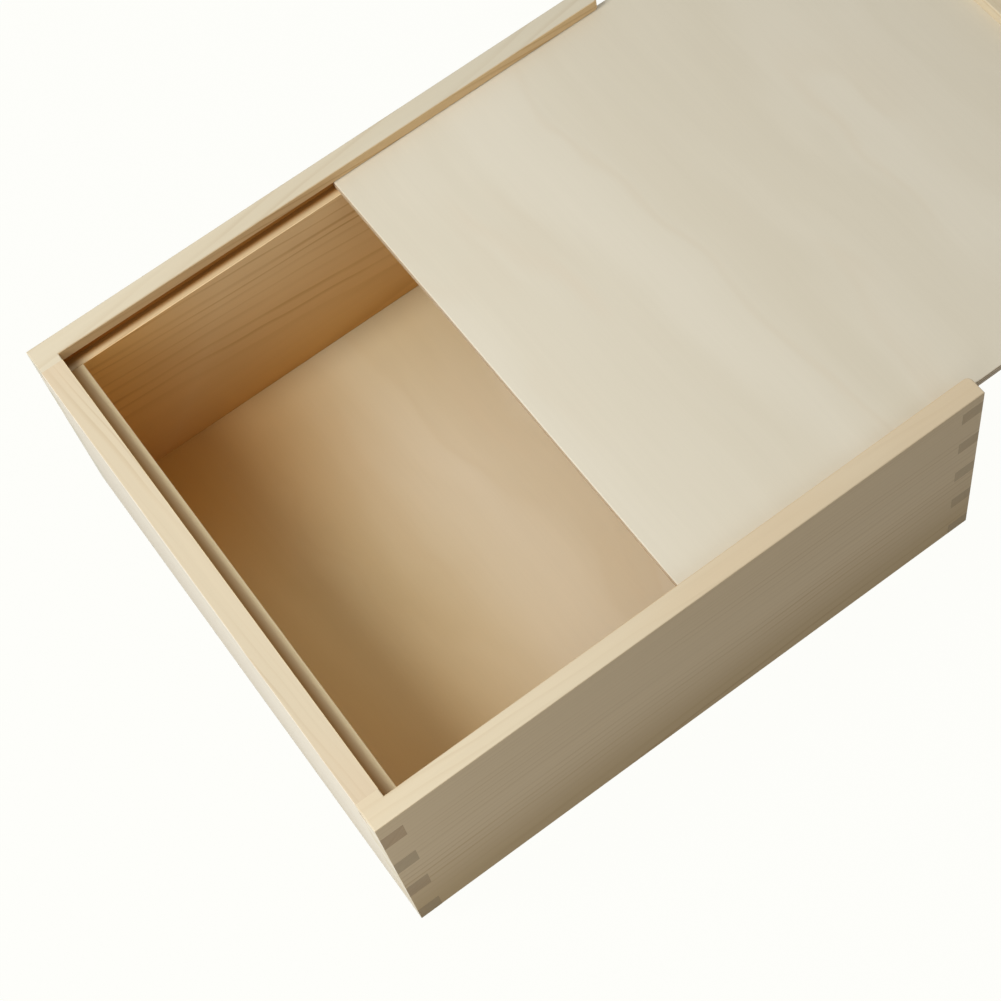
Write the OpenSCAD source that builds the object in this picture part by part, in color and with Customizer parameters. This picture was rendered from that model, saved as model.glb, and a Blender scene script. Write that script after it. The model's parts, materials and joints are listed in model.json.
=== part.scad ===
// Sliding lid wooden box: four boards joined by comb joints at the corners,
// a plywood floor let into their lower edges, and a plywood lid that slides
// along the box in grooves under the rim. A rail on the lid's outer end closes
// the gap in the rim above the lowered end board.
// X runs along the box from the closed end to the open end, Z is up, and the
// origin is the middle of the underside.

/* [Box] */
// Outer length, from the closed end to the open end
length = 332; // [220:1:480]
// Outer width, across the lid
width = 300; // [180:1:420]
// Outer height, to the top of the rim
height = 132; // [80:1:220]

/* [Boards] */
// Thickness of a long side below the lid
side_t = 15; // [12:0.5:18]
// Thickness of a long side's rim above the lid
side_rim_t = 11; // [9:0.5:12]
// Thickness of the end boards at the comb joints and of the closed end's rim
end_t = 12; // [9:0.5:16]
// How much thicker the closed end is below the lid, as a ledge for the nose
nose_ledge = 7.5; // [2:0.5:12]
// Height of the rim above the lid groove
rim_h = 6.8; // [5:0.2:10]
// Plan radius of the rim's inner corners at the open end
rim_corner_r = 3; // [1:0.5:5]

/* [Lid] */
// Thickness of the lid's plywood
lid_t = 5.4; // [4:0.2:7]
// Depth of the lid groove behind the rim
groove_d = 2.6; // [1.5:0.1:4]
// Clearance above and below the lid in its groove
lid_play = 0.3; // [0.2:0.05:0.5]
// Clearance at the lid's edges
lid_edge_gap = 0.4; // [0.2:0.1:1]
// Width of the rail on the lid's outer end
rail_w = 18; // [10:1:26]
// Gap between the rail's ends and the rims of the long sides
rail_gap = 0.5; // [0.3:0.1:2]
// How far the lid stands open
lid_open = 160; // [0:1:200]

/* [Comb joints] */
// Pins on each edge of the closed end
closed_pins = 4; // [3:1:5]
// Height of a pin on the closed end
closed_pin_h = 13; // [7:0.5:15]
// Pins on each edge of the open end
open_pins = 5; // [3:1:6]
// Height of a pin on the open end
open_pin_h = 9.6; // [6:0.2:10]
// Distance from the top of the rim to the open end's highest pin
open_pin_drop = 7.6; // [7:0.2:14]

/* [Floor] */
// Thickness of the floor's plywood
floor_t = 6.5; // [4:0.5:10]
// How far the floor reaches under each board
floor_seat = 5; // [3:0.5:7]
// Gap round the floor in its rebate
floor_fit = 0.2; // [0.1:0.1:0.5]

/* [Hidden] */
$fn = 48;

// Extra length of a cut, so that it passes the face that it opens
over = 1;

// Places along the box
closed_x = -length / 2;
open_x = length / 2;
comb_x = closed_x + end_t;
cavity_x0 = comb_x + nose_ledge;
cavity_x1 = open_x - end_t;

// Places across the box, as distances from its middle
outer_y = width / 2;
inner_y = outer_y - side_t;
rim_y = outer_y - side_rim_t;
groove_y = rim_y + groove_d;

// Heights
groove_h = lid_t + 2 * lid_play;
rim_z = height - rim_h;
ledge_z = rim_z - groove_h;
lid_z = ledge_z + lid_play;
rail_z = lid_z + lid_t;

// The lid
lid_closed_x = comb_x - groove_d + lid_edge_gap;
lid_l = open_x - lid_closed_x;
lid_x = lid_closed_x + lid_open;

// The closed end's pins stand evenly from the underside to the lid's ledge
closed_pitch = (ledge_z - closed_pin_h) / (closed_pins - 1);
// The open end's pins stand evenly up to the highest, which the groove trims
open_pitch = (height - open_pin_drop - open_pin_h) / (open_pins - 1);

// A block between two corners
module block(low, high) {
    translate(low)
        cube(high - low);
}

// A comb of pins across one long side, at +Y or -Y as sign says. A comb that
// cuts sockets stands proud of the side's faces, and of its underside.
module comb(x0, x1, sign, pins, pin_h, pitch, proud = 0) {
    y0 = sign > 0 ? inner_y - proud : -outer_y - proud;
    y1 = sign > 0 ? outer_y + proud : -inner_y + proud;
    for (i = [0 : pins - 1])
        block([x0, y0, i * pitch - (i == 0 ? proud : 0)], [x1, y1, i * pitch + pin_h]);
}

module closed_comb(sign, proud = 0) {
    comb(closed_x - proud, comb_x, sign, closed_pins, closed_pin_h, closed_pitch, proud);
}

module open_comb(sign, proud = 0) {
    comb(cavity_x1, open_x + proud, sign, open_pins, open_pin_h, open_pitch, proud);
}

// The space that the lid slides in, right through both ends
module lid_channel() {
    block([closed_x - over, -groove_y, ledge_z], [open_x + over, groove_y, rim_z]);
}

// The floor with its gap, as the rebate that it needs
module floor_rebate() {
    block([cavity_x0 - floor_seat - floor_fit, -inner_y - floor_seat - floor_fit, -over],
          [cavity_x1 + floor_seat + floor_fit, inner_y + floor_seat + floor_fit, floor_t]);
}

// What is cut off a rim's inner corner at the open end to round it
module rim_corner_cut() {
    translate([open_x - rim_corner_r, rim_y + rim_corner_r, rim_z])
        difference() {
            translate([0, -rim_corner_r - over, 0])
                cube([rim_corner_r + over, rim_corner_r + over, rim_h + over]);
            translate([0, 0, -over])
                cylinder(r = rim_corner_r, h = rim_h + 3 * over);
        }
}

// The long side at +Y. Its section is a board with a groove and a thinner rim,
// and its rim is full thickness where it closes the corner of the closed end.
module long_side() {
    difference() {
        union() {
            block([closed_x, inner_y, 0], [open_x, outer_y, ledge_z + over]);
            block([closed_x, rim_y, ledge_z], [open_x, outer_y, height]);
            block([closed_x, inner_y, rim_z], [comb_x, outer_y, height]);
        }
        // The lid's ledge and groove
        block([closed_x - over, 0, ledge_z], [open_x + over, groove_y, rim_z]);
        // Sockets for the pins of both ends
        closed_comb(1, over);
        open_comb(1, over);
        floor_rebate();
        rim_corner_cut();
    }
}

module far_side() {
    color([0.86, 0.78, 0.63])
        long_side();
}

module near_side() {
    color([0.88, 0.80, 0.66])
        mirror([0, 1, 0])
            long_side();
}

// The full-height end, with a ledge and a groove for the lid's nose
module closed_end() {
    color([0.84, 0.75, 0.59])
        difference() {
            union() {
                block([closed_x, -inner_y, 0], [cavity_x0, inner_y, ledge_z]);
                block([closed_x, -inner_y, ledge_z], [comb_x, inner_y, height]);
                closed_comb(1);
                closed_comb(-1);
            }
            // The groove behind the rim
            block([comb_x - groove_d, -outer_y, ledge_z], [comb_x + over, outer_y, rim_z]);
            floor_rebate();
        }
}

// The lowered end, which the lid slides over
module open_end() {
    color([0.84, 0.76, 0.60])
        difference() {
            union() {
                block([cavity_x1, -inner_y, 0], [open_x, inner_y, ledge_z]);
                open_comb(1);
                open_comb(-1);
            }
            lid_channel();
            floor_rebate();
        }
}

module floor_panel() {
    color([0.80, 0.68, 0.50])
        block([cavity_x0 - floor_seat, -inner_y - floor_seat, 0],
              [cavity_x1 + floor_seat, inner_y + floor_seat, floor_t]);
}

module lid_panel() {
    color([0.90, 0.86, 0.76])
        block([lid_x, -groove_y + lid_edge_gap, lid_z],
              [lid_x + lid_l, groove_y - lid_edge_gap, rail_z]);
}

module lid_rail() {
    color([0.87, 0.79, 0.64])
        block([lid_x + lid_l - rail_w, -rim_y + rail_gap, rail_z],
              [lid_x + lid_l, rim_y - rail_gap, height]);
}

near_side();
far_side();
closed_end();
open_end();
floor_panel();
lid_panel();
lid_rail();
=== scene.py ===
import json
import math

import bmesh
import bpy
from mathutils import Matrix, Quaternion, Vector
from mathutils.bvhtree import BVHTree

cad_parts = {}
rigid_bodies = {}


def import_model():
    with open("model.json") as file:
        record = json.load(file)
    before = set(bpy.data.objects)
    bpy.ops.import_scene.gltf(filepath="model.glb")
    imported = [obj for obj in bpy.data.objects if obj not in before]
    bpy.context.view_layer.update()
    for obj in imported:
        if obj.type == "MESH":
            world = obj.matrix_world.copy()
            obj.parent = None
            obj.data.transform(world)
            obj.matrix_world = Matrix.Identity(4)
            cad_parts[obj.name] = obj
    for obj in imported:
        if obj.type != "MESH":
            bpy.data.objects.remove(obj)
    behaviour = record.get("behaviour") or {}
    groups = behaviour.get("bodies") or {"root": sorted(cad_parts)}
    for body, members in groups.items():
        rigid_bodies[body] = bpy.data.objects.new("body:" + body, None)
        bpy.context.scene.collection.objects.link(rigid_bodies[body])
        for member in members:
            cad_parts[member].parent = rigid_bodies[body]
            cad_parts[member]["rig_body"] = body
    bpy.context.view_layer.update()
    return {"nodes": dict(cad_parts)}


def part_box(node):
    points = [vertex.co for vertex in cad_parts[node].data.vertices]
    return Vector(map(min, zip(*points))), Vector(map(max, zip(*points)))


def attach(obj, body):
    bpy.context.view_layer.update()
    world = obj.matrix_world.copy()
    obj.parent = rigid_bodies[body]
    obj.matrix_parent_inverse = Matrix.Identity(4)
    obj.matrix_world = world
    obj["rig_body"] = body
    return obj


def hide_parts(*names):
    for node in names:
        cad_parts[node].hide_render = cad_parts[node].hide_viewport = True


# The looks of a wooden box with a sliding plywood lid, in metres and in the solids' own frame

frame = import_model()

# Heights and faces that the finishes need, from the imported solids
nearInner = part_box("near_side")[1].y
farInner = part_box("far_side")[0].y
closedLow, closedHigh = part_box("closed_end")
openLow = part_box("open_end")[0]
lidLow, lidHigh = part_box("lid_panel")
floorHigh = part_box("floor_panel")[1]
lidPlay = 0.0003               # clearance above and below the lid in its groove
ledgeTop = lidLow.z - lidPlay
rimLow = lidHigh.z + lidPlay
print("frame loaded:", len(frame["nodes"]), "solids")


camera = {
    "place": (-0.2060, -0.4827, 1.0294),
    "lookAt": (-0.0321, -0.0515, 0.1200),
    "roll": -15.16,          # degrees, turns the long sides to the photograph's slant
    "focalPixels": 2255.6,   # focal length in pixels of the photograph
    "photoWidth": 1001,      # pixels
    "sensorWidth": 36,       # mm
    "clipStart": 0.01,
}


def addCamera(values):
    data = bpy.data.cameras.new("camera")
    data.sensor_width = values["sensorWidth"]
    data.lens = values["focalPixels"] * values["sensorWidth"] / values["photoWidth"]
    data.clip_start = values["clipStart"]
    eye = bpy.data.objects.new("camera", data)
    place = Vector(values["place"])
    look = (Vector(values["lookAt"]) - place).to_track_quat("-Z", "Y")
    eye.rotation_mode = "QUATERNION"
    eye.rotation_quaternion = look @ Quaternion((0, 0, 1), math.radians(values["roll"]))
    eye.location = place
    bpy.context.scene.collection.objects.link(eye)
    bpy.context.scene.camera = eye


addCamera(camera)
print("camera set")


# One output socket of a shader tree, so that shader maths is written as sums
class Wire:
    def __init__(self, tree, socket=None):
        self.tree = tree
        self.socket = socket

    # Any node: its settings first, then the values or wires of its sockets
    def node(self, kind, settings=None, inputs=None, output=0):
        made = self.tree.nodes.new(kind)
        for name, value in (settings or {}).items():
            setattr(made, name, value)
        for name, value in (inputs or {}).items():
            if isinstance(value, Wire):
                self.tree.links.new(value.socket, made.inputs[name])
            else:
                made.inputs[name].default_value = value
        return Wire(self.tree, made.outputs[output]) if made.outputs else None

    # Another output of the node that this wire leaves
    def sibling(self, name):
        return Wire(self.tree, self.socket.node.outputs[name])

    def math(self, operation, *others):
        values = dict(enumerate((self,) + others))
        return self.node("ShaderNodeMath", {"operation": operation}, values)

    def __add__(self, other):
        return self.math("ADD", other)

    __radd__ = __add__

    def __mul__(self, other):
        return self.math("MULTIPLY", other)

    __rmul__ = __mul__

    def __sub__(self, other):
        return self.math("SUBTRACT", other)

    def __rsub__(self, other):
        return (self * -1) + other

    def __truediv__(self, other):
        return self.math("DIVIDE", other)

    def __pow__(self, other):
        return self.math("POWER", other)

    def __abs__(self):
        return self.math("ABSOLUTE")

    # 0 below low, 1 above high and a smooth rise between
    def rise(self, low, high):
        settings = {"interpolation_type": "SMOOTHSTEP"}
        inputs = {"Value": self, "From Min": low, "From Max": high}
        return self.node("ShaderNodeMapRange", settings, inputs)


def newFinish(name):
    material = bpy.data.materials.new(name)
    material.use_nodes = True
    material.node_tree.nodes.clear()
    return material, Wire(material.node_tree)


def mixColours(factor, first, second, blend="MIX"):
    settings = {"data_type": "RGBA", "blend_type": blend, "clamp_factor": True}
    return factor.node("ShaderNodeMix", settings, {0: factor, 6: first, 7: second}, 2)


# A colour made lighter or darker by a tone round 1
def toned(colour, tone):
    inputs = {"Vector": colour, "Scale": tone}
    return tone.node("ShaderNodeVectorMath", {"operation": "SCALE"}, inputs)


def vectorOf(wire, x, y, z):
    return wire.node("ShaderNodeCombineXYZ", inputs={"X": x, "Y": y, "Z": z})


def noiseAt(vector, detail=2.0, roughness=0.5):
    inputs = {"Vector": vector, "Scale": 1.0, "Detail": detail, "Roughness": roughness}
    return vector.node("ShaderNodeTexNoise", {"noise_dimensions": "3D"}, inputs, "Fac")


# The last nodes of every finish. Colour, roughness and bump vary, the rest is set here.
def closeFinish(wire, colour, roughness, height, relief, gloss=0.3, strength=0.7):
    depths = {"Height": height, "Strength": strength, "Distance": relief}
    bump = wire.node("ShaderNodeBump", inputs=depths, output="Normal")
    inputs = {
        "Base Color": colour, "Roughness": roughness, "Specular IOR Level": gloss, "Normal": bump,
    }
    shader = wire.node("ShaderNodeBsdfPrincipled", inputs=inputs, output="BSDF")
    wire.node("ShaderNodeOutputMaterial", inputs={"Surface": shader})


# A colour as a screen's shades from 0 to 255, turned into the linear one that shaders take
def linear(*shades):
    def one(shade):
        share = shade / 255
        return share / 12.92 if share <= 0.04045 else ((share + 0.055) / 1.055) ** 2.4
    return tuple(one(shade) for shade in shades) + (1.0,)


# What the boards share: growth rings round a pith, so that faces, edges and end grain agree.
# The late wood, the groove's painted shade, end grain and the painted shade low outside multiply
# the colour that lies under them.
boardWood = {
    "late": linear(214, 196, 168),
    # The inside, deep and lip face colours are painted shade inside the box
    "inside": linear(234, 204, 156),
    "deep": linear(218, 168, 92),
    "lipFace": linear(214, 184, 138),
    "groove": linear(188, 150, 92),
    "endGrain": linear(216, 207, 194),
    "paintedLowShade": linear(221, 213, 193),  # painted shade on the lower part outside, darker towards the bottom
    "paintedLowShadeTo": 0.070,        # and how high up that goes, in metres
    "paintedCornerShadeRun": 0.10,      # how far along a side its painted corner shade goes
    "border": 0.0004,       # how softly one shade ends at another, in metres
    "lipBorder": 0.0007,
    "lipRound": 0.0010,     # how far the lip's shade follows its rounded edges down
    "footStart": 0.0006,    # how far behind the lip the groove's shade begins to fade
    "wander": 0.010,        # how far the rings stray from round, in metres
    "ripple": 0.0020,       # and how far they waver on the way along
    "uneven": 2.2,          # how unlike each other the rings' widths are
    "lateShare": 0.44,      # how much of a ring is late wood
    "lateEnd": 0.90,        # where in a ring the late wood is darkest
    "topFade": 0.45,        # how much weaker the late wood is on top
    "endFade": 0.5,         # and on end grain
    "patchShare": 0.8,
    "outerShare": 0.85,
    "fibreStrength": 0.05,
    "streakStrength": 0.07,
    "roughness": 0.60,
    "roughnessRange": 0.10,
    "fibreHeight": 0.6,
    "relief": 0.00004,
    # Noise per metre, along the grain and across it
    "drifts": (3.1, 11),
    "ripples": (17, 34),
    "fadings": (9, 30),
    "fibres": (14, 800),
    "streaks": (5, 170),
    "patches": (4.0, 16),
    # From and to what part of a normal a face counts as looking a way
    "outside": (0.5, 0.8),
    "upward": (0.5, 0.9),
    "endwise": (0.60, 0.85),
}


def boardFinish(piece):
    wood = boardWood
    material, wire = newFinish(piece["name"] + "Wood")
    point = wire.node("ShaderNodeTexCoord", output="Object")
    split = point.node("ShaderNodeSeparateXYZ", inputs={"Vector": point})
    axes = {axis: split.sibling(axis) for axis in "XYZ"}
    along, across, through = (axes[axis] for axis in piece["grain"])
    shift = piece["shift"]

    normal = wire.node("ShaderNodeNewGeometry", output="Normal")
    facing = normal.node("ShaderNodeSeparateXYZ", inputs={"Vector": normal})
    axis, face, sign = piece["inside"]
    outward = (facing.sibling(axis) * -sign).rise(*wood["outside"])
    upward = facing.sibling("Z").rise(*wood["upward"])

    # Noise stretched along the grain
    def grainNoise(rates, detail, roughness=0.5, moved=shift):
        place = vectorOf(wire, along * rates[0] + moved, across * rates[1], through * rates[1])
        return noiseAt(place, detail, roughness)

    # Distance from the pith, which leans along the board, gives the rings
    drift = grainNoise(wood["drifts"], 2.5) - 0.5
    away = across - piece["pith"][0] - along * piece["lean"][0]
    deep = through - piece["pith"][1] - along * piece["lean"][1]
    ripple = grainNoise(wood["ripples"], 2.5) - 0.5
    radius = (away * away + deep * deep) ** 0.5 + drift * wood["wander"] + ripple * wood["ripple"]
    uneven = noiseAt(vectorOf(wire, radius * 90, shift, 0), 1.0)
    phase = radius / piece["ringWidth"] + uneven * wood["uneven"]
    ring = phase.math("FLOOR")
    share = phase - ring
    darkest = wood["lateEnd"]
    late = share.rise(1 - wood["lateShare"], darkest) * (1 - share.rise(darkest, 1.0))
    seed = {"W": ring + shift}
    mood = ring.node("ShaderNodeTexWhiteNoise", {"noise_dimensions": "1D"}, seed, "Value")
    fading = grainNoise(wood["fadings"], 2.0).rise(0.36, 0.66)
    late = late * (mood * 0.8 + 0.2) * (fading * 0.75 + 0.25) * piece["lateStrength"]
    endwise = facing.sibling(piece["grain"][0])
    endFace = abs(endwise).rise(*wood["endwise"])
    late = late * (1 - upward * wood["topFade"]) * (1 - endFace * wood["endFade"])

    fibre = grainNoise(wood["fibres"], 3.0, 0.6, moved=0) - 0.5
    streak = grainNoise(wood["streaks"], 3.0, 0.55) - 0.5
    patch = grainNoise(wood["patches"], 3.0).rise(0.42, 0.72)

    colour = mixColours(patch * wood["patchShare"], piece["early"], piece["patch"])
    colour = mixColours(outward * wood["outerShare"], colour, piece["outer"])
    # Painted shade low down outside, on faces and end grain, darker towards the bottom
    low = 1 - axes["Z"].rise(0.0, wood["paintedLowShadeTo"])
    paintedLowShade = (outward * piece["paintedLowShade"] + endFace * piece["paintedLowShadePins"]) * low
    colour = mixColours(paintedLowShade, colour, wood["paintedLowShade"], "MULTIPLY")

    # Painted shade inside: the inside is warmer and darker, most of all down by the floor, in the
    # closed end's corner and in the groove; the lip's inner face and the up-facing ledges take
    # their own shaded colours
    border = wood["border"]
    back, lip = -piece["recess"], -piece["lip"]
    start, stop = piece["reach"]
    inset = (axes[axis] - face) * sign
    below = 1 - axes["Z"].rise(rimLow - border / 2, rimLow)
    behindLip = inset.rise(back - border, back) * below
    beforeLip = (inset + (1 - upward) * wood["lipRound"]).rise(lip - wood["lipBorder"], lip)
    between = along.rise(start - border, start) * (1 - along.rise(stop, stop + border))
    paintedCornerShade = (1 - along.rise(start, start + wood["paintedCornerShadeRun"])) * piece["paintedCornerShade"]
    depth = 1 - axes["Z"] / lidLow.z
    depth = (depth * (depth * 0.5 + 0.5)).math("MAXIMUM", paintedCornerShade)
    paintedInsideShade = behindLip.math("MAXIMUM", beforeLip) * between * piece["paintedInsideShade"]
    inner = mixColours(depth, wood["inside"], wood["deep"])
    inner = mixColours(1 - below, inner, wood["lipFace"])
    colour = mixColours(paintedInsideShade, colour, mixColours(upward, inner, piece["ledge"]))
    # Painted shade in the groove behind the lip, spreading over the ledge
    beyondFoot = inset.rise(lip - wood["footStart"], lip + piece["foot"])
    groove = behindLip * (1 - beyondFoot) * between * piece["paintedInsideShade"]
    colour = mixColours(groove, colour, wood["groove"], "MULTIPLY")
    colour = mixColours(late, colour, wood["late"], "MULTIPLY")

    # End grain is darker; where a board starts it is painted paler and cooler, painted light
    # meant for the side boards' ends on the face towards the lamp
    toStart = (endwise * -1).rise(*wood["endwise"])
    endTint = mixColours(toStart, wood["endGrain"], piece["paintedStartGrainLight"])
    colour = mixColours(endFace, colour, endTint, "MULTIPLY")

    shading = fibre * wood["fibreStrength"] + streak * wood["streakStrength"]
    tone = shading * (1 + endFace) + 1
    roughness = fibre * wood["roughnessRange"] + wood["roughness"]
    height = fibre * wood["fibreHeight"] + late
    closeFinish(wire, toned(colour, tone), roughness, height, wood["relief"])
    return material


# Sheets of veneer, glued crosswise, for the lid and the floor
plyWood = {
    "glue": linear(172, 146, 108),
    "endPly": linear(176, 146, 104),
    "glueShare": 0.8,
    "glueFrom": 0.40,       # where in half a sheet's thickness the glue begins
    "fibreStrength": 0.035,
    "roughnessRange": 0.10,
    "relief": 0.00002,
}


def plyFinish(piece):
    material, wire = newFinish(piece["name"] + "Veneer")
    point = wire.node("ShaderNodeTexCoord", output="Object")
    split = point.node("ShaderNodeSeparateXYZ", inputs={"Vector": point})
    x, y, z = (split.sibling(axis) for axis in "XYZ")
    shift = piece["shift"]

    # Peeled veneer: broad wavy bands along Y, thin lines in them and a few warm smudges.
    # The numbers beside x, y and z are noise per metre.
    warp = noiseAt(vectorOf(wire, x * 7 + shift, y * 4, z), 3.0) - 0.5
    band = noiseAt(vectorOf(wire, x * 19 + warp * 3.0, y * 1.8 + shift, z), 2.0) - 0.5
    fade = noiseAt(vectorOf(wire, x * 9 + shift, y * 6, z), 2.0).rise(0.40, 0.62)
    lines = (band * piece["contours"] + warp * 2.0).math("PINGPONG", 0.5)
    contour = (1 - lines.rise(0.0, 0.16)) * fade
    smudge = noiseAt(vectorOf(wire, x * 26 + warp * 4.0 + shift, y * 5, z), 2.0).rise(0.64, 0.80)
    fibre = noiseAt(vectorOf(wire, x * 900, y * 16, z * 900), 3.0, 0.6) - 0.5
    streak = noiseAt(vectorOf(wire, x * 160 + warp * 8, y * 4 + shift, z * 160), 3.0) - 0.5

    colour = mixColours(band.rise(-0.22, 0.22), piece["light"], piece["dark"])
    colour = mixColours(contour * piece["contourStrength"], colour, piece["line"])
    colour = mixColours(smudge * piece["smudgeStrength"], colour, piece["smudge"])

    turned = wire.node("ShaderNodeAttribute", {"attribute_name": "plyTurn"}, output="Fac")
    height = wire.node("ShaderNodeAttribute", {"attribute_name": "plyHeight"}, output="Fac")
    normal = wire.node("ShaderNodeNewGeometry", output="Normal")
    facing = normal.node("ShaderNodeSeparateXYZ", inputs={"Vector": normal})
    flat = abs(facing.sibling("Z")).rise(0.35, 0.75)

    # Painted shade on the floor inside: warmer and darker towards the closed end, most of all in
    # its far corner, and darker by the far and near walls
    if "paintedShadeFarCorner" in piece:
        upward = facing.sibling("Z").rise(0.2, 0.8)
        fromEnd = 1 - x.rise(closedHigh.x, closedHigh.x + piece["cornerReach"])
        toCorner = y.rise(*piece["cornerTurn"])
        corner = mixColours(toCorner, piece["paintedShadeNearCorner"], piece["paintedShadeFarCorner"])
        colour = mixColours(fromEnd * upward, colour, corner, "MULTIPLY")
        toFar = y.rise(piece["paintedShadeByFarWallFrom"], closedHigh.y) * upward
        colour = mixColours(toFar, colour, piece["paintedShadeByFarWall"], "MULTIPLY")
        toNear = (1 - y.rise(closedLow.y, piece["paintedShadeByNearWallTo"])) * (1 - fromEnd) * upward
        colour = mixColours(toNear, colour, piece["paintedShadeByNearWall"], "MULTIPLY")

    # On the edges the sheets show long grain and end grain in turn, with dark glue between
    faceX = abs(facing.sibling("X")).rise(0.5, 0.8)
    endPly = faceX * turned + (1 - faceX) * (1 - turned)
    edge = mixColours(endPly, piece["light"], plyWood["endPly"])
    inPly = ((z - height) / piece["plyThickness"]).math("ABSOLUTE")
    glued = inPly.rise(plyWood["glueFrom"], 0.49) * plyWood["glueShare"]
    edge = mixColours(glued, edge, plyWood["glue"])
    colour = mixColours(flat, edge, colour)

    tone = fibre * plyWood["fibreStrength"] + streak * piece["streakStrength"] + 1
    roughness = fibre * plyWood["roughnessRange"] + piece["roughness"]
    closeFinish(wire, toned(colour, tone), roughness, fibre, plyWood["relief"])
    return material


softening = {
    "merge": 0.000001,             # vertices closer than this are one
    "flat": math.radians(1),       # faces that turn less than this are one face
    "sharp": math.radians(30),
    "square": 0.99999,             # a normal's largest part, on a face square to an axis
    "probe": 0.0004,               # how far beside an edge its faces are tested
    "touching": 0.0001,
    "probes": (0.25, 0.5, 0.75),   # where along an edge
    "segments": 3,
}


# The surfaces of the pieces that touch a node, to tell bare faces from jointed ones
def neighboursOf(node):
    corners = []
    faces = []
    for name, other in frame["nodes"].items():
        if name != node and other["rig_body"] == frame["nodes"][node]["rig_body"]:
            start = len(corners)
            corners += [vertex.co.copy() for vertex in other.data.vertices]
            faces += [[start + index for index in face.vertices] for face in other.data.polygons]
    return BVHTree.FromPolygons(corners, faces)


# Whether a loop's face is bare beside that loop's edge
def isBare(loop, neighbours):
    start = loop.vert.co
    run = loop.link_loop_next.vert.co - start
    inward = loop.face.normal.cross(run).normalized() * softening["probe"]
    covered = 0
    for share in softening["probes"]:
        nearest = neighbours.find_nearest(start + run * share + inward)
        if nearest[0] is not None and nearest[3] < softening["touching"]:
            covered += 1
    return covered < 2


# Whether both ends of an edge are at one level
def runsAt(level, heights):
    return all(abs(height - level) < softening["touching"] for height in heights)


def isUpright(heights):
    return abs(heights[0] - heights[1]) > softening["touching"]


# The lower edges of the rim stay crisp, and the comb joints nearly so
def bareSoftening(heights):
    if runsAt(rimLow, heights):
        return "seam"
    if runsAt(ledgeTop, heights):
        return "ledgeArris"
    return "combArris" if isUpright(heights) else "arris"


# Gives every convex edge its softening: arrises are rounded, jointed edges barely broken
def weighEdges(mesh, neighbours, values, widest):
    weights = mesh.edges.layers.float.new("bevel_weight_edge")
    for edge in mesh.edges:
        if len(edge.link_loops) != 2 or edge.calc_face_angle(0) < softening["sharp"]:
            continue
        if not edge.is_convex:
            edge.smooth = False
            continue
        bare = [isBare(loop, neighbours) for loop in edge.link_loops]
        heights = [vertex.co.z for vertex in edge.verts]
        if runsAt(floorHigh.z, heights) and any(bare):
            edge[weights] = values["floorJoint"] / widest
        elif all(bare):
            edge[weights] = values[bareSoftening(heights)] / widest
        elif any(bare):
            edge[weights] = values["seam"] / widest
        else:
            edge.smooth = False


# A finished mesh from an object's live modifiers, which are then removed
def settle(piece):
    graph = bpy.context.evaluated_depsgraph_get()
    mesh = bpy.data.meshes.new_from_object(piece.evaluated_get(graph), depsgraph=graph)
    piece.modifiers.clear()
    piece.data = mesh
    # Broad faces stay flat and only the rounded edges between them are smooth
    for face in mesh.polygons:
        face.use_smooth = max(abs(part) for part in face.normal) < softening["square"]


def addBevel(piece, width):
    bevel = piece.modifiers.new("softening", "BEVEL")
    bevel.limit_method = "WEIGHT"
    bevel.width = width
    bevel.segments = softening["segments"]
    bevel.use_clamp_overlap = False


# Rides a piece on its body in the place of its solid
def takeOver(piece, values):
    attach(piece, values["body"])
    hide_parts(values["node"])


# A board with the solid's own shape, and its edges eased as sandpaper leaves them
def makeBoard(values):
    mesh = bmesh.new()
    mesh.from_mesh(frame["nodes"][values["node"]].data)
    bmesh.ops.remove_doubles(mesh, verts=mesh.verts, dist=softening["merge"])
    bmesh.ops.dissolve_limit(
        mesh, angle_limit=softening["flat"], verts=mesh.verts, edges=mesh.edges,
        use_dissolve_boundaries=False)
    mesh.normal_update()
    widest = max(values["arris"], values["ledgeArris"])
    weighEdges(mesh, neighboursOf(values["node"]), values, widest)
    data = bpy.data.meshes.new(values["name"])
    mesh.to_mesh(data)
    mesh.free()
    piece = bpy.data.objects.new(values["name"], data)
    bpy.context.scene.collection.objects.link(piece)
    addBevel(piece, widest)
    settle(piece)
    piece.data.materials.clear()
    piece.data.materials.append(boardFinish(values))
    takeOver(piece, values)
    return piece


nearSide = {
    "name": "nearSideBoard", "node": "near_side", "body": "box", "slot": "side_board",
    "early": linear(216, 202, 174),
    "patch": linear(212, 192, 160),
    "paintedStartGrainLight": (1.16, 1.24, 1.36, 1.0),  # painted light: paler, cooler end grain where the board starts, on the face towards the lamp
    "ringWidth": 0.0036,
    "lateStrength": 0.55,
    "grain": "XZY",                # along, across and through the board
    "pith": (-0.012, -0.215),      # across and through, where the tree's heart was
    "lean": (-0.045, 0.030),
    "shift": 3.7,                  # picks this board's own grain
    "inside": ("Y", nearInner, 1),  # which way the inner face looks, and where it is
    "recess": 0.0066,              # how far the groove reaches back from the inner face
    "lip": 0.0040,                 # and the rim's own inner face
    "foot": 0.0030,                # how far the groove's shade spreads over the ledge
    "ledge": linear(213, 188, 147),
    "reach": (-0.154, 0.1655),     # from where to where along the board the inside goes
    "paintedInsideShade": 1.0,
    "paintedLowShade": 1.0,                   # how much painted shade it gets low down outside
    "paintedLowShadePins": 0.0,               # and on end grain
    "paintedCornerShade": 1.0,               # how much of the bottom's painted shade the closed end's corner gets
    "outer": linear(212, 190, 154),
    "arris": 0.0006,
    "ledgeArris": 0.0004,
    "combArris": 0.00025,          # the boards' upright edges, across the comb joints
    "floorJoint": 0.0004,
    "seam": 0.00007,
}
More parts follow.
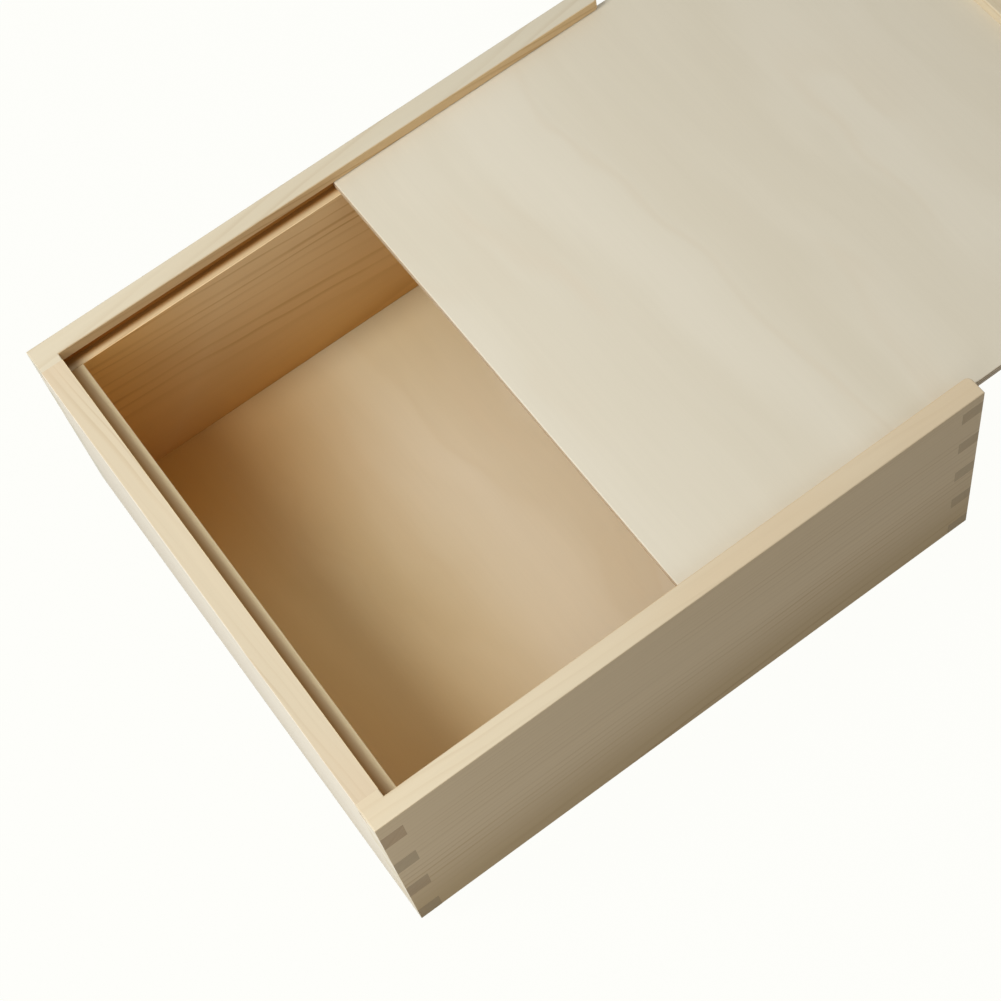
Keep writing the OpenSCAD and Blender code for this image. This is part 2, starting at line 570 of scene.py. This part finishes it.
farSide = dict(
    nearSide, name="farSideBoard", node="far_side",
    early=linear(212, 203, 181), patch=linear(210, 196, 168), outer=linear(214, 200, 172),
    ringWidth=0.0048, lateStrength=0.9, pith=(0.025, 0.205), lean=(-0.060, 0.020), shift=11.2,
    inside=("Y", farInner, -1))
# The closed end's outer face is painted paler, painted light on the face towards the lamp; its
# ledge is painted lighter past the groove's painted shade, painted light where the rim's shadow
# ends
closedEnd = dict(
    nearSide, name="closedEndBoard", node="closed_end", slot="end_board",
    early=linear(209, 195, 168), patch=linear(212, 190, 160), outer=linear(244, 238, 223),
    paintedStartGrainLight=linear(216, 207, 194), ledge=linear(251, 231, 187), paintedLowShade=0.2, paintedLowShadePins=0.9,
    paintedCornerShade=0.0, grain="YZX", pith=(0.160, -0.205), lean=(0.050, -0.030), shift=23.9,
    inside=("X", closedHigh.x, 1), recess=0.0101, lip=0.0075, foot=0.0072,
    reach=(-0.1416, 0.1416), arris=0.0004, ledgeArris=0.0006)
openEnd = dict(
    nearSide, name="openEndBoard", node="open_end", slot="end_board",
    outer=linear(214, 198, 168), paintedStartGrainLight=linear(216, 207, 194), paintedLowShadePins=0.9,
    paintedCornerShade=0.0, grain="YZX", pith=(0.030, 0.220), lean=(-0.040, 0.030), shift=31.4,
    inside=("X", openLow.x, -1), recess=0.0004, lip=0.0, reach=(-0.1354, 0.1354))
# The rail has no inside, so none of it gets the painted inside shade
lidRail = dict(
    nearSide, name="lidRail", node="lid_rail", body="lid", slot="rail_wood",
    outer=linear(213, 199, 170), grain="YXZ", pith=(0.36, 0.165), lean=(0.030, 0.020), shift=42.6,
    inside=("Z", -1.0, -1), paintedInsideShade=0.0)

for values in (nearSide, farSide, closedEnd, openEnd, lidRail):
    made = makeBoard(values)
    print("board made:", made.name, len(made.data.polygons), "faces")


# The node tree that glues up a panel: one sheet, repeated upwards and trimmed a little unevenly
def plyTree():
    tree = bpy.data.node_groups.new("plywoodPanel", "GeometryNodeTree")
    sockets = {
        "Length": "NodeSocketFloat", "Width": "NodeSocketFloat", "Plies": "NodeSocketInt",
        "Ply Thickness": "NodeSocketFloat", "Low Corner": "NodeSocketVector",
        "Trim Wander": "NodeSocketFloat", "Seed": "NodeSocketInt", "Finish": "NodeSocketMaterial",
    }
    for name, kind in sockets.items():
        tree.interface.new_socket(name, in_out="INPUT", socket_type=kind)
    tree.interface.new_socket("Panel", in_out="OUTPUT", socket_type="NodeSocketGeometry")
    entry = tree.nodes.new("NodeGroupInput")
    wire = Wire(tree)
    given = {name: Wire(tree, entry.outputs[name]) for name in sockets}

    def geoMath(operation, first, second):
        return wire.node("ShaderNodeMath", {"operation": operation}, {0: first, 1: second})

    def geoVector(x, y, z):
        return wire.node("ShaderNodeCombineXYZ", inputs={"X": x, "Y": y, "Z": z})

    thick = given["Ply Thickness"]
    size = geoVector(given["Length"], given["Width"], thick)
    sheet = wire.node("GeometryNodeMeshCube", inputs={"Size": size})
    halves = [geoMath("MULTIPLY", side, 0.5) for side in (given["Length"], given["Width"], thick)]
    middle = geoVector(*halves)
    ends = {0: given["Low Corner"], 1: middle}
    start = wire.node("ShaderNodeVectorMath", {"operation": "ADD"}, ends)
    stack = wire.node(
        "GeometryNodeMeshLine", {"mode": "OFFSET"},
        {"Count": given["Plies"], "Start Location": start, "Offset": geoVector(0.0, 0.0, thick)})
    index = wire.node("GeometryNodeInputIndex")
    place = wire.node("GeometryNodeInputPosition")
    height = wire.node("ShaderNodeSeparateXYZ", inputs={"Vector": place}, output="Z")
    turn = geoMath("MODULO", index, 2.0)
    for name, value in (("plyTurn", turn), ("plyHeight", height)):
        settings = {"data_type": "FLOAT", "domain": "POINT"}
        stack = wire.node("GeometryNodeStoreNamedAttribute", settings,
                          {"Geometry": stack, "Name": name, "Value": value})
    least = geoMath("SUBTRACT", 1.0, given["Trim Wander"])
    trim = wire.node("FunctionNodeRandomValue", {"data_type": "FLOAT_VECTOR"},
                     {0: geoVector(least, least, 1.0), 1: (1.0, 1.0, 1.0), "Seed": given["Seed"]})
    copies = {"Points": stack, "Instance": sheet, "Scale": trim}
    sheets = wire.node("GeometryNodeInstanceOnPoints", inputs=copies)
    solid = wire.node("GeometryNodeRealizeInstances", inputs={"Geometry": sheets})
    covered = {"Geometry": solid, "Material": given["Finish"]}
    finished = wire.node("GeometryNodeSetMaterial", inputs=covered)
    leave = tree.nodes.new("NodeGroupOutput")
    tree.links.new(finished.socket, leave.inputs["Panel"])
    return tree


def makePanel(values, tree):
    low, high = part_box(values["node"])
    values["plyThickness"] = (high.z - low.z) / values["plies"]
    piece = bpy.data.objects.new(values["name"], bpy.data.meshes.new(values["name"]))
    bpy.context.scene.collection.objects.link(piece)
    sheets = piece.modifiers.new("plies", "NODES")
    sheets.node_group = tree
    given = {
        "Length": high.x - low.x, "Width": high.y - low.y, "Plies": values["plies"],
        "Ply Thickness": values["plyThickness"], "Low Corner": low,
        "Trim Wander": values["trimWander"], "Seed": values["seed"], "Finish": plyFinish(values),
    }
    for item in tree.interface.items_tree:
        if item.in_out == "INPUT":
            sheets[item.identifier] = given[item.name]
    settle(piece)

    # The outer arrises are eased, the sheets' own edges only broken
    mesh = bmesh.new()
    mesh.from_mesh(piece.data)
    weights = mesh.edges.layers.float.new("bevel_weight_edge")
    for edge in mesh.edges:
        heights = [vertex.co.z for vertex in edge.verts]
        eased = runsAt(high.z, heights) or runsAt(low.z, heights) or isUpright(heights)
        edge[weights] = 1 if eased else values["seam"] / values["arris"]
    mesh.to_mesh(piece.data)
    mesh.free()
    addBevel(piece, values["arris"])
    settle(piece)
    takeOver(piece, values)
    return piece


lidPanel = {
    "name": "lidPlywood", "node": "lid_panel", "body": "lid", "slot": "lid_plywood",
    "plies": 5,
    "trimWander": 0.0004,          # share of its length that a sheet may fall short by
    "seed": 5,
    "light": linear(221, 214, 196),
    "dark": linear(215, 207, 187),
    "line": linear(206, 186, 156),
    "smudge": linear(216, 190, 162),
    "contours": 3.0,
    "contourStrength": 0.11,
    "smudgeStrength": 0.22,
    "streakStrength": 0.03,
    "roughness": 0.58,
    "shift": 7.3,
    "arris": 0.0005,
    "seam": 0.00006,
}
# The floor's corner colours and wall tints are painted shade, the near corner's a warm one
floorPanel = dict(
    lidPanel, name="floorPlywood", node="floor_panel", body="box", slot="floor_plywood", seed=8,
    light=linear(227, 212, 184), dark=linear(220, 203, 171), line=linear(206, 172, 124),
    smudge=linear(214, 172, 124), smudgeStrength=0.10, contourStrength=0.07, shift=17.9,
    cornerReach=0.14, cornerTurn=(-0.01, 0.13), paintedShadeByFarWallFrom=0.02, paintedShadeByNearWallTo=-0.05,
    paintedShadeNearCorner=(1.16, 1.02, 0.67, 1.0), paintedShadeFarCorner=(1.0, 0.64, 0.22, 1.0),
    paintedShadeByFarWall=(0.86, 0.83, 0.72, 1.0), paintedShadeByNearWall=(0.80, 0.82, 0.85, 1.0), roughness=0.62,
    arris=0.0003)

panels = plyTree()
for values in (lidPanel, floorPanel):
    made = makePanel(values, panels)
    print("panel made:", made.name, len(made.data.polygons), "faces")


stage = {
    "floorSize": 8.0,
    "floorColour": linear(84, 84, 83),     # sets how much light the floor sends back up
    "white": (0.985, 0.985, 0.95, 1.0),    # and this is how pale the camera sees it
    "floorGlow": 1.105,
    "shadowShare": 0.10,           # how much of the floor's own shading the camera sees
    "ambient": 0.44,
    "ambientColour": (1.0, 0.99, 0.97, 1.0),
}


# 1 for the rays that see the white background: the camera's, and those in gloss and glass
def seesWhite(wire):
    rays = wire.node("ShaderNodeLightPath", output="Is Camera Ray")
    inGloss = rays.math("MAXIMUM", rays.sibling("Is Glossy Ray"))
    return inGloss.math("MAXIMUM", rays.sibling("Is Transmission Ray"))


def addStage(values):
    half = values["floorSize"] / 2
    data = bpy.data.meshes.new("paleFloor")
    corners = [(-half, -half, 0), (half, -half, 0), (half, half, 0), (-half, half, 0)]
    data.from_pydata(corners, [], [(0, 1, 2, 3)])
    ground = bpy.data.objects.new("paleFloor", data)
    bpy.context.scene.collection.objects.link(ground)
    material, wire = newFinish("paleFloor")
    seen = seesWhite(wire) * (1 - values["shadowShare"])
    shade = wire.node("ShaderNodeBsdfDiffuse", inputs={"Color": values["floorColour"]})
    white = {"Color": values["white"], "Strength": values["floorGlow"]}
    glow = wire.node("ShaderNodeEmission", inputs=white)
    both = wire.node("ShaderNodeMixShader", inputs={0: seen, 1: shade, 2: glow})
    wire.node("ShaderNodeOutputMaterial", inputs={"Surface": both})
    material.cycles.emission_sampling = "NONE"
    data.materials.append(material)

    world = bpy.data.worlds.new("studio")
    world.use_nodes = True
    world.node_tree.nodes.clear()
    wire = Wire(world.node_tree)
    soft = {"Color": values["ambientColour"], "Strength": values["ambient"]}
    fill = wire.node("ShaderNodeBackground", inputs=soft)
    seen = wire.node("ShaderNodeBackground", inputs={"Color": values["white"], "Strength": 1.0})
    both = wire.node("ShaderNodeMixShader", inputs={0: seesWhite(wire), 1: fill, 2: seen})
    wire.node("ShaderNodeOutputWorld", inputs={"Surface": both})
    bpy.context.scene.world = world


# Soft lamps, aimed at the middle of the box: place, width and height in metres, power in watts
lamps = {
    "windowLamp": {
        "place": (-0.78, 0.145, 1.07), "wide": 0.27, "tall": 0.68, "power": 11.2,
        "colour": (1.0, 0.99, 0.97),
    },
    "frontFill": {
        "place": (-0.75, -0.65, 0.55), "wide": 0.4, "tall": 0.4, "power": 1.4,
        "colour": (1.0, 0.98, 0.95),
    },
    "leftBounce": {
        "place": (-0.47, -0.38, 0.13), "wide": 0.30, "tall": 0.14, "power": 0.26,
        "colour": (1.0, 0.98, 0.94),
    },
    "rightBounce": {
        "place": (0.95, 0.30, 0.10), "wide": 0.45, "tall": 0.14, "power": 2.3,
        "colour": (1.0, 0.98, 0.94),
    },
}


def addLamp(name, values):
    data = bpy.data.lights.new(name, "AREA")
    data.shape = "ELLIPSE"
    data.size = values["wide"]
    data.size_y = values["tall"]
    data.energy = values["power"]
    data.color = values["colour"]
    lamp = bpy.data.objects.new(name, data)
    lamp.location = values["place"]
    lamp.visible_camera = False
    lamp.rotation_mode = "QUATERNION"
    lamp.rotation_quaternion = (-Vector(values["place"])).to_track_quat("-Z", "Y")
    bpy.context.scene.collection.objects.link(lamp)


addStage(stage)
for name, values in lamps.items():
    addLamp(name, values)
bpy.context.scene.view_settings.view_transform = "Standard"
print("floor and lamps set")
